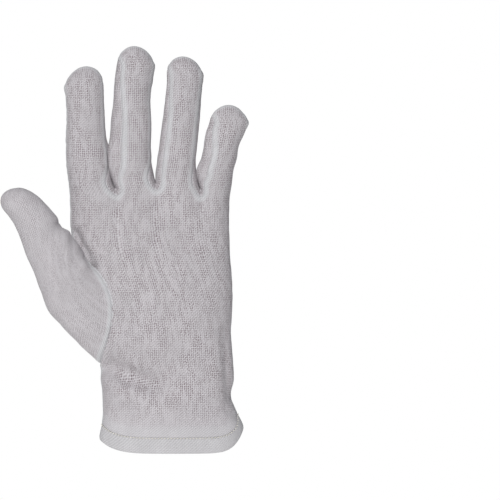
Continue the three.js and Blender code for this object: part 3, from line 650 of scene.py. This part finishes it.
def clothPattern(tree, shader, look, loopShadeAmount, doubled):
    # base colour and relief of the knit from its own measure, in millimetres
    place = addNode(tree, "ShaderNodeUVMap", uv_map="cloth").outputs[0]

    def scaled(width, height, turn=0.0):
        return addNode(tree, "ShaderNodeMapping", {
            "Vector": place, "Scale": (1 / width, 1 / height, 1), "Rotation": (0, 0, math.radians(turn))}).outputs[0]

    def calculate(operation, a, b, clamp=False):
        return addNode(tree, "ShaderNodeMath", {0: a, 1: b}, operation=operation, use_clamp=clamp).outputs[0]

    def ramp(value, low, high, toLow=0.0, toHigh=1.0):
        return addNode(tree, "ShaderNodeMapRange", {
            "Value": value, "From Min": low, "From Max": high, "To Min": toLow, "To Max": toHigh},
            interpolation_type="SMOOTHSTEP").outputs[0]

    loops = addNode(tree, "ShaderNodeTexVoronoi", {
        "Vector": scaled(look["loopWidth"], look["loopHeight"]), "Scale": 1.0, "Randomness": 0.3},
        voronoi_dimensions="2D").outputs["Distance"]
    hole = ramp(loops, 0.12, 0.5, 1.0, 0.0)
    wisps = addNode(tree, "ShaderNodeTexNoise", {
        "Vector": scaled(look["wispWidth"], look["wispHeight"]), "Scale": 1.0, "Detail": 3.0, "Roughness": 0.6},
        noise_dimensions="2D").outputs[0]
    clouds = addNode(tree, "ShaderNodeTexNoise", {
        "Vector": scaled(look["cloudSize"], look["cloudSize"] * 1.4), "Scale": 1.0, "Detail": 2.0},
        noise_dimensions="2D").outputs[0]
    ribs = addNode(tree, "ShaderNodeTexWave", {
        "Vector": scaled(1, 1, look["ribTurn"]), "Scale": 0.31416 / look["ribPitch"], "Distortion": 1.2,
        "Detail": 1.0, "Detail Scale": 0.6}, wave_type="BANDS", bands_direction="Y").outputs["Fac"]
    drawn = calculate("MULTIPLY", ramp(wisps, 0.32, 0.62, 0.3, 1.0), ramp(clouds, 0.2, 0.6, 0.6, 1.0))
    # The open loops take painted shade for the dark inside, less where the cloth lies double.
    loopShading = calculate("MULTIPLY", calculate("MULTIPLY", hole, drawn), loopShadeAmount)
    single = calculate("SUBTRACT", 1.0, doubled)
    loopShading = calculate("MULTIPLY", loopShading, calculate("ADD", calculate("MULTIPLY", single, 0.85), 0.15), True)
    shade = calculate("ADD", ramp(ribs, 0, 1, 0.88, 1.07), ramp(clouds, 0.3, 0.7, -0.04, 0.04))
    cloth = addNode(tree, "ShaderNodeMix", {
        0: doubled, 6: srgb(look["cloth"]), 7: srgb(look["doubled"])}, data_type="RGBA").outputs[2]
    shaded = addNode(tree, "ShaderNodeVectorMath", {0: cloth, "Scale": shade}, operation="SCALE").outputs[0]
    # The loops' painted shade goes over the cloth colour.
    colour = addNode(tree, "ShaderNodeMix", {
        0: loopShading, 6: shaded, 7: srgb(look["loopShade"])}, data_type="RGBA").outputs[2]
    tree.links.new(colour, shader.inputs["Base Color"])
    dip = calculate("MULTIPLY", hole, calculate("MULTIPLY", single, 0.8))
    height = calculate("SUBTRACT", calculate("MULTIPLY", ribs, 0.5), dip)
    relief = addNode(tree, "ShaderNodeBump", {
        "Height": height, "Distance": look["reliefHeight"], "Strength": 0.7}).outputs[0]
    tree.links.new(relief, shader.inputs["Normal"])
    shader.inputs["Sheen Weight"].default_value = 0.04
    shader.inputs["Sheen Roughness"].default_value = 0.6


def attribute(tree, name):
    # the piece's own value at each point, by name
    return addNode(tree, "ShaderNodeAttribute", attribute_name=name).outputs["Fac"]


cottonKnit, tree, shader = startMaterial("combed_cotton_single_knit", knitLook["cloth"], knitLook["roughness"])
clothPattern(tree, shader, knitLook, attribute(tree, "sheerLoopShade"), attribute(tree, "band"))

# The same knit folded double and pressed at the hem: closer, lighter and nearly without open loops.
hemLook = dict(knitLook, cloth="#bfbdbf", doubled="#c6c5c7")
cottonHem, tree, shader = startMaterial("combed_cotton_double_hem", hemLook["cloth"], hemLook["roughness"])
# Its few open loops take a little painted shade.
clothPattern(tree, shader, hemLook, 0.35, 0.4)

# Spun cotton sewing thread: ecru, twisted, with a soft shine along each turn of the twist.
threadLook = {"thread": "#f4f0e6", "shadow": "#dbd6ca", "roughness": 0.8, "twistPitch": 0.5}
cottonThread, tree, shader = startMaterial("spun_cotton_thread", threadLook["thread"], threadLook["roughness"])
place = addNode(tree, "ShaderNodeTexCoord").outputs["Object"]
slant = addNode(tree, "ShaderNodeMapping", {"Vector": place, "Rotation": (0, math.radians(40), 0)}).outputs[0]
twist = addNode(tree, "ShaderNodeTexWave", {
    "Vector": slant, "Scale": 0.31416 / (threadLook["twistPitch"] * mm)}, bands_direction="X").outputs["Fac"]
spun = addNode(tree, "ShaderNodeMix", {
    0: twist, 6: srgb(threadLook["shadow"]), 7: srgb(threadLook["thread"])}, data_type="RGBA").outputs[2]
tree.links.new(spun, shader.inputs["Base Color"])

print("cloth pieces")
uvOf = {}


def layOut(patches, panel):
    # the columns of a panel side by side: one cloth in the palm, each about its middle on the fingers
    uv, last = np.zeros((len(skin), 2)), grid["palm"]
    rowStart = np.zeros(len(patches[0]["walked"]))
    for patch in patches:
        width = patch["walked"][:, -1]
        middle = rowStart[last] + width[last] / 2
        start = np.where(patch["levels"]["zone"] == 0, rowStart, middle - width / 2)
        uv[patch["ids"]] = np.stack([start[:, None] + patch["walked"], patch["v"]], -1)
        rowStart = rowStart + width
    uvOf[panel] = uv


def layOutStrip(patch):
    # a strip's own measure: u across it, v along it
    across = np.linalg.norm(np.diff(patch["points"], axis=1), axis=2)
    along = np.linalg.norm(np.diff(patch["points"], axis=0), axis=2).mean(1)
    u = np.concatenate([np.zeros((len(across), 1)), np.cumsum(across, axis=1)], 1)
    v = np.concatenate([[0], np.cumsum(along)])[:, None]
    return np.stack(np.broadcast_arrays(u - u[:, -1:] / 2, v), -1)


layOut(palmPatches, "palm_panel")
layOut(panelPatches[::-2], "back_panel")
for patch in forkPatches:
    uvOf[patch["piece"]] = np.zeros((len(skin), 2))
    uvOf[patch["piece"]][patch["ids"]] = layOutStrip(patch)

inner = skin + skinNormals * (folds - hand["wall"])[:, None]
owners = [patch["piece"] for patch in patches]
for name in ["palm_panel", "back_panel"] + ["fourchette_" + fork["name"] for fork in forks]:
    mine = np.isin(skinOwner, [k for k, owner in enumerate(owners) if owner == name])
    points, faces, flat, used = shell(outer, inner, skinFaces[mine])
    # This mask sets how much painted shade shows in each piece's open loops.
    masks = {"band": np.tile(band[used], 2), "sheerLoopShade": np.tile(sheerLoopShade[used], 2)}
    measure = np.tile(uvOf[name][used], (2, 1))
    piece = makeMesh("knit_" + name, points, faces, flat, measure, masks, cottonKnit)
    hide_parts(name)
    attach(piece, "root")

print("thumb")
overDome = np.arange(1, thumbShape["domeRows"] + 1) / thumbShape["domeRows"] * math.pi / 2
shares = np.concatenate([
    np.linspace(0, 1 - thumbShape["dome"], thumbShape["shaftRows"] + 1),
    1 - thumbShape["dome"] + thumbShape["dome"] * np.sin(overDome)])
turnsRound = np.linspace(0, -360, thumbShape["quadsRound"] + 1)
thumbGrid = thumbPoint(shares[:, None], turnsRound[None, :])
middle = np.array([0, 0, (thumbShape["holeLow"] + thumbShape["holeHigh"]) / 2])
toMiddle = middle - thumbGrid[0]
toMiddle /= np.linalg.norm(toMiddle, axis=1, keepdims=True)
# Two more rows turn in under the thumb as its seam allowance.
skirt = [thumbGrid[0] + toMiddle * depth for depth in (2.0, 1.0)]
thumbPatch = {"points": np.concatenate([np.stack(skirt), thumbGrid])}
thumbSkin, thumbFaces, _ = weld([thumbPatch])
thumbUv = np.zeros((len(thumbSkin), 2))
thumbUv[thumbPatch["ids"]] = layOutStrip(thumbPatch)
thumbNormals = pointNormals(thumbSkin, thumbFaces)
thumbNormals[thumbPatch["ids"][:3]] = thumbNormals[thumbPatch["ids"][3]]
toHole = nearest(thumbSkin, thumbSeam)
thumbRelief = -0.35 * bump(toHole, 0.6) + 0.25 * ease(toHole, 0.4, 1.2) * (1 - ease(toHole, 3.0, 4.2))
# Folds at the thumb's crotch, in the same columns as the palm's.
thumbFolds = [
    (-67.5, 139.7, -64, 138.0, 1.7, 0.9), (-61.5, 131.8, -58, 116.5, 1.8, 0.7),
    (-65, 133.5, -62.5, 120, 2.2, -0.35), (-57, 113, -53, 118, 1.6, 0.5),
]
facing = thumbNormals[:, 1] < 0.4
for x0, z0, x1, z1, wide, deep in thumbFolds:
    away = lineDistance(thumbSkin[:, 0], thumbSkin[:, 2], (x0, z0), (x1, z1))
    thumbRelief -= deep * bump(away, wide) * facing
# The thumb's own seam runs up its side towards the index finger, to just short of the tip.
ownSeam = thumbPoint(np.linspace(0.02, 0.97, 300), np.full(300, thumbShape["seamAngle"]))
toOwn = nearest(thumbSkin, ownSeam)
thumbRelief += -0.35 * bump(toOwn, 0.55) + 0.2 * ease(toOwn, 0.3, 1.1) * (1 - ease(toOwn, 2.6, 3.8))
thumbRelief += softWaves(thumbSkin, 21, 12, 12, 30, 0.15) + softWaves(thumbSkin, 23, 12, 5, 11, 0.05)
# The cloth stands out where the thumb overhangs the palm.
crotchEdge = lineDistance(thumbSkin[:, 0], thumbSkin[:, 2], (-63, 132), (-53, 114))
thumbRelief += 2.2 * bump(crotchEdge, 5) * facing * ease(toHole, 0.5, 6)
thumbRelief[thumbPatch["ids"][:2]] = 0
points, faces, flat, used = shell(
    thumbSkin + thumbNormals * thumbRelief[:, None], thumbSkin - thumbNormals * hand["wall"], thumbFaces)
thumbBand = np.maximum(0.9 * (1 - ease(toHole, 2.4, 3.8)), 0.7 * (1 - ease(toOwn, 2.2, 3.4)))
# A little over half the painted shade shows in the thumb's open loops.
masks = {"band": np.tile(thumbBand[used], 2), "sheerLoopShade": np.full(2 * len(used), 0.55)}
thumb = makeMesh("knit_thumb", points, faces, flat, np.tile(thumbUv[used], (2, 1)), masks, cottonKnit)
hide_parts("thumb")
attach(thumb, "root")

print("hem")
hemShape = {
    # how far out from the cloth's outer face, and how far up from the rim, round the folded edge
    "profile": np.array([
        (-0.1, 9.5), (0.04, 9.0), (0.14, 7.6), (0.18, 5.0), (0.14, 2.6), (0.04, 1.1), (-0.2, 0.25), (-0.6, 0.0),
        (-1.1, 0.2), (-1.4, 0.9), (-1.5, 2.4), (-1.5, 6.0), (-1.45, 8.8), (-1.4, 9.5), (-1.45, 11.0),
        (-1.45, 15.4), (-1.3, 16.3), (-1.1, 16.3), (-0.98, 15.4), (-0.96, 11.0), (-0.9, 9.7)]),
    "pointsRound": 280, "pointsAlong": 64, "stitchPitch": 1.9, "stitchLength": 1.4, "stitchThick": 0.5,
    "stitchRise": 0.32, "stitchBow": 0.5,
}


def clothFrame(angle, z):
    # a point of the palm's surface with its outward direction and the one round the cuff
    point = palmPoint(angle, z)
    around = palmPoint(angle + 0.5, z) - palmPoint(angle - 0.5, z)
    upward = palmPoint(angle, z + 0.5) - palmPoint(angle, z - 0.5)
    out = np.cross(around, upward)
    out /= np.linalg.norm(out, axis=-1, keepdims=True)
    return point, out, around / np.linalg.norm(around, axis=-1, keepdims=True)


profile = hemShape["profile"]
profile = np.concatenate([profile, profile[:1]])
walked = np.concatenate([[0], np.cumsum(np.linalg.norm(np.diff(profile, axis=0), axis=1))])
along = np.linspace(0, walked[-1], hemShape["pointsAlong"] + 1)
out, upFromRim = (np.interp(along, walked, profile[:, k])[:, None] for k in (0, 1))
angle = np.linspace(0, 360, hemShape["pointsRound"] + 1)[None, :]
surface, outward, _ = clothFrame(angle, rimHeight(angle) + upFromRim)
hemGrid = surface + outward * out[..., None]
hemStrip = {"points": hemGrid[::-1]}
hemPoints, hemFaces, _ = weld([hemStrip])
hemUv = np.zeros((len(hemPoints), 2))
hemUv[hemStrip["ids"]] = layOutStrip(hemStrip)
hem = makeMesh("folded_hem", hemPoints, hemFaces, None, hemUv, None, cottonHem)
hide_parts("hem")
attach(hem, "root")

# Stitches round the hem: short bowed lengths of thread, thick in the middle and sunk at both ends.
fine = np.linspace(0, 360, 3600)
line = palmPoint(fine, rimHeight(fine) + hand["hemHeight"])
walked = np.concatenate([[0], np.cumsum(np.linalg.norm(np.diff(line, axis=0), axis=1))])
count = int(walked[-1] / hemShape["stitchPitch"])
centres = np.interp((np.arange(count) + 0.5) / count * walked[-1], walked, fine)
place, outward, around = clothFrame(centres, rimHeight(centres) + hand["hemHeight"])
lengthwise = np.linspace(-1, 1, 7)
roundThread = np.linspace(0, 2 * math.pi, 7)
bow = hemShape["stitchRise"] - hemShape["stitchBow"] * lengthwise ** 4
thick = hemShape["stitchThick"] / 2 * np.sqrt(np.maximum(1 - lengthwise ** 2, 0))
upward = np.cross(outward, around)
stitchGrid = (
    place[:, None, None]
    + around[:, None, None] * (lengthwise * hemShape["stitchLength"] / 2)[None, :, None, None]
    + outward[:, None, None] * (bow[:, None] + thick[:, None] * np.sin(roundThread)[None, :])[None, ..., None]
    + upward[:, None, None] * (thick[:, None] * np.cos(roundThread)[None, :])[None, ..., None])
stitchPoints, stitchFaces, _ = weld([{"points": stitch} for stitch in stitchGrid])
stitches = makeMesh("hem_stitches", stitchPoints, stitchFaces, None, None, None, cottonThread)
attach(stitches, "root")

print("studio")
studio = {"cameraX": 0.0488, "cameraZ": 0.1238, "distance": 1.6, "frameWidth": 0.305, "plane": -0.010,
          "floorZ": -0.12, "floorHalf": 0.85, "floorGlow": 0.45, "aim": (0, 0, 0.12), "skyStrength": 0.17}
# place, width and power of each lamp
lamps = {"key": ((-0.45, -1.2, 1.25), 0.6, 19), "front": ((0.1, -2.0, 0.1), 0.6, 8),
         "rear": ((0.1, 2.0, 0.3), 0.8, 27)}
bpy.context.scene.view_settings.view_transform = "Standard"
world = bpy.data.worlds.new("studio")
bpy.context.scene.world = world
world.use_nodes = True
tree = world.node_tree
tree.nodes.clear()
path = addNode(tree, "ShaderNodeLightPath")
seen = addNode(tree, "ShaderNodeBackground", {"Color": (1, 1, 1, 1), "Strength": 1.0})
lighting = addNode(tree, "ShaderNodeBackground", {"Color": (0.86, 0.92, 1, 1), "Strength": studio["skyStrength"]})
mixed = addNode(tree, "ShaderNodeMixShader", {
    0: path.outputs["Is Camera Ray"], 1: lighting.outputs[0], 2: seen.outputs[0]})
addNode(tree, "ShaderNodeOutputWorld", {"Surface": mixed.outputs[0]})

camera = bpy.data.objects.new("camera", bpy.data.cameras.new("camera"))
bpy.context.scene.collection.objects.link(camera)
camera.location = (studio["cameraX"], studio["plane"] - studio["distance"], studio["cameraZ"])
camera.rotation_euler = (math.radians(90), 0, 0)
camera.data.sensor_width = 36
camera.data.lens = 36 * studio["distance"] / studio["frameWidth"]
camera.data.clip_end = 20
bpy.context.scene.camera = camera

for name, (place, width, power) in lamps.items():
    data = bpy.data.lights.new(name, "AREA")
    data.shape, data.size, data.energy = "SQUARE", width, power
    light = bpy.data.objects.new(name, data)
    bpy.context.scene.collection.objects.link(light)
    light.location = place
    away = np.array(studio["aim"]) - np.array(place)
    tilt, heading = math.atan2(math.hypot(away[0], away[1]), -away[2]), math.atan2(away[1], away[0])
    light.rotation_euler = (tilt, 0, heading - math.pi / 2)

half = studio["floorHalf"] / mm
floorPoints = np.array([(-half, -half, 0), (half, -half, 0), (half, half, 0), (-half, half, 0)])
floorPoints[:, 2] = studio["floorZ"] / mm
paper, tree, shader = startMaterial("white_paper_floor", "#eeedeb", 0.9)
shader.inputs["Emission Color"].default_value = (1, 1, 1, 1)
shader.inputs["Emission Strength"].default_value = studio["floorGlow"]
floor = makeMesh("floor", floorPoints, np.array([[0, 1, 2, 3]]), None, None, None, paper)
